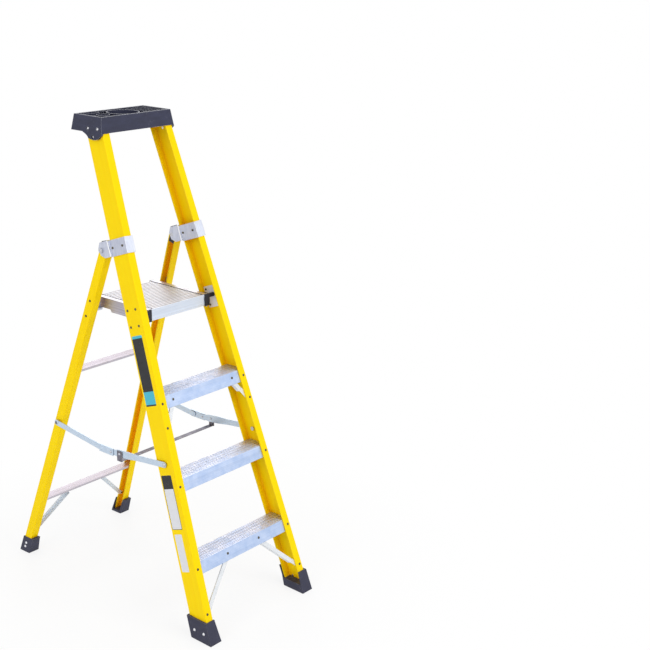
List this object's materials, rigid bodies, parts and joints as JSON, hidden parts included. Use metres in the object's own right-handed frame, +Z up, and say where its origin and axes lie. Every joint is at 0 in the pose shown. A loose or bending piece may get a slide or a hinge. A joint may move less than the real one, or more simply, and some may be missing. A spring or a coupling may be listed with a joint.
{
  "type": "platform step ladder",
  "caption": "Folding platform step ladder with ribbed treads, a tilting platform, a guard frame with a tool tray, a hinged rear frame and spreader stays.",
  "frame": {"origin": "middle of the overall box at floor level", "axes": "+X to the right of a user who climbs it, -Y the climbing side, +Z up"},
  "size_m": [0.5046, 1.0046, 1.637],
  "materials": {
    "yellow_rail": "semi-gloss",
    "bare_aluminium": "extruded, satin",
    "dark_plastic": "fine grained",
    "shoe_rubber": "moulded",
    "black_plastic": "moulded",
    "rivet_steel": "bright",
    "dark_rivet": "dull",
    "zinc_steel": "zinc plated"
  },
  "bodies": {
    "front_frame": {"front_stile_left": "yellow_rail", "front_stile_right": "yellow_rail", "tread_lower": "bare_aluminium", "tread_middle": "bare_aluminium", "tread_upper": "bare_aluminium", "tread_cleats": "bare_aluminium", "knee_brace_lower_left": "bare_aluminium", "knee_brace_lower_right": "bare_aluminium", "knee_brace_upper_left": "bare_aluminium", "knee_brace_upper_right": "bare_aluminium", "top_tray": "dark_plastic", "hinge_bracket_left": "bare_aluminium", "hinge_bracket_right": "bare_aluminium", "hinge_bolt_left": "rivet_steel", "hinge_bolt_right": "rivet_steel", "platform_bracket_left": "bare_aluminium", "platform_bracket_right": "bare_aluminium", "platform_stud_left": "black_plastic", "platform_stud_right": "black_plastic", "front_shoe_left": "shoe_rubber", "front_shoe_right": "shoe_rubber", "tread_rivets": "dark_rivet", "knee_brace_rivets": "dark_rivet", "top_tray_rivets": "rivet_steel", "hinge_bracket_rivets": "dark_rivet", "platform_bracket_rivets": "dark_rivet", "front_shoe_rivets": "rivet_steel", "stay_front_bolts": "rivet_steel"},
    "rear_frame": {"rear_stile_left": "yellow_rail", "rear_stile_right": "yellow_rail", "rear_bar_upper": "bare_aluminium", "rear_bar_lower": "bare_aluminium", "rear_brace_left": "bare_aluminium", "rear_brace_right": "bare_aluminium", "rear_plug_left": "black_plastic", "rear_plug_right": "black_plastic", "platform_rest_left": "bare_aluminium", "platform_rest_right": "bare_aluminium", "rear_shoe_left": "shoe_rubber", "rear_shoe_right": "shoe_rubber", "rear_frame_rivets": "dark_rivet", "rear_shoe_rivets": "rivet_steel", "stay_rear_bosses": "rivet_steel"},
    "platform": {"platform_deck": "bare_aluminium", "platform_fascia": "bare_aluminium", "platform_rail_left": "bare_aluminium", "platform_rail_right": "bare_aluminium", "platform_corner_left": "black_plastic", "platform_corner_right": "black_plastic", "platform_rear_cap_left": "black_plastic", "platform_rear_cap_right": "black_plastic"},
    "stay_front": {"stay_front_arm_left": "zinc_steel", "stay_front_arm_right": "zinc_steel", "stay_tie_bar": "zinc_steel", "stay_link_rivets": "rivet_steel"},
    "stay_link_left": {"stay_link_left": "zinc_steel"},
    "stay_link_right": {"stay_link_right": "zinc_steel"},
    "stay_rear_left": {"stay_rear_arm_left": "zinc_steel"},
    "stay_rear_right": {"stay_rear_arm_right": "zinc_steel"}
  },
  "joints": [
    {"name": "rear_fold", "type": "hinge", "parent": "front_frame", "child": "rear_frame", "pos_m": [0, 0.05567, 1.20967], "axis": [1, 0, 0], "range_deg": [-38.75, 0]},
    {"name": "platform_tilt", "type": "hinge", "parent": "front_frame", "child": "platform", "pos_m": [0, -0.10173, 1.0195], "axis": [1, 0, 0], "range_deg": [0, 70.61]},
    {"name": "front_arms_fold", "type": "hinge", "parent": "front_frame", "child": "stay_front", "pos_m": [0, -0.26043, 0.5568], "axis": [1, 0, 0], "range_deg": [0, 70.99]},
    {"name": "link_left_turn", "type": "hinge", "parent": "stay_front", "child": "stay_link_left", "pos_m": [0, -0.0023, 0.5288], "axis": [1, 0, 0], "range_deg": [-75.01, 0]},
    {"name": "rear_arm_left_fold", "type": "hinge", "parent": "stay_link_left", "child": "stay_rear_left", "pos_m": [0, 0.0447, 0.5288], "axis": [1, 0, 0], "range_deg": [-109.82, 0]},
    {"name": "link_right_turn", "type": "hinge", "parent": "stay_front", "child": "stay_link_right", "pos_m": [0, -0.0023, 0.5288], "axis": [1, 0, 0], "range_deg": [-75.01, 0]},
    {"name": "rear_arm_right_fold", "type": "hinge", "parent": "stay_link_right", "child": "stay_rear_right", "pos_m": [0, 0.0447, 0.5288], "axis": [1, 0, 0], "range_deg": [-109.82, 0]}
  ],
  "couplings": [
    {"joint": "platform_tilt", "follows": "rear_fold", "ratio": -1.8219},
    {"joint": "front_arms_fold", "follows": "rear_fold", "ratio": -1.8317},
    {"joint": "link_left_turn", "follows": "rear_fold", "ratio": 1.9355},
    {"joint": "rear_arm_left_fold", "follows": "rear_fold", "ratio": 2.8337},
    {"joint": "link_right_turn", "follows": "rear_fold", "ratio": 1.9355},
    {"joint": "rear_arm_right_fold", "follows": "rear_fold", "ratio": 2.8337}
  ]
}
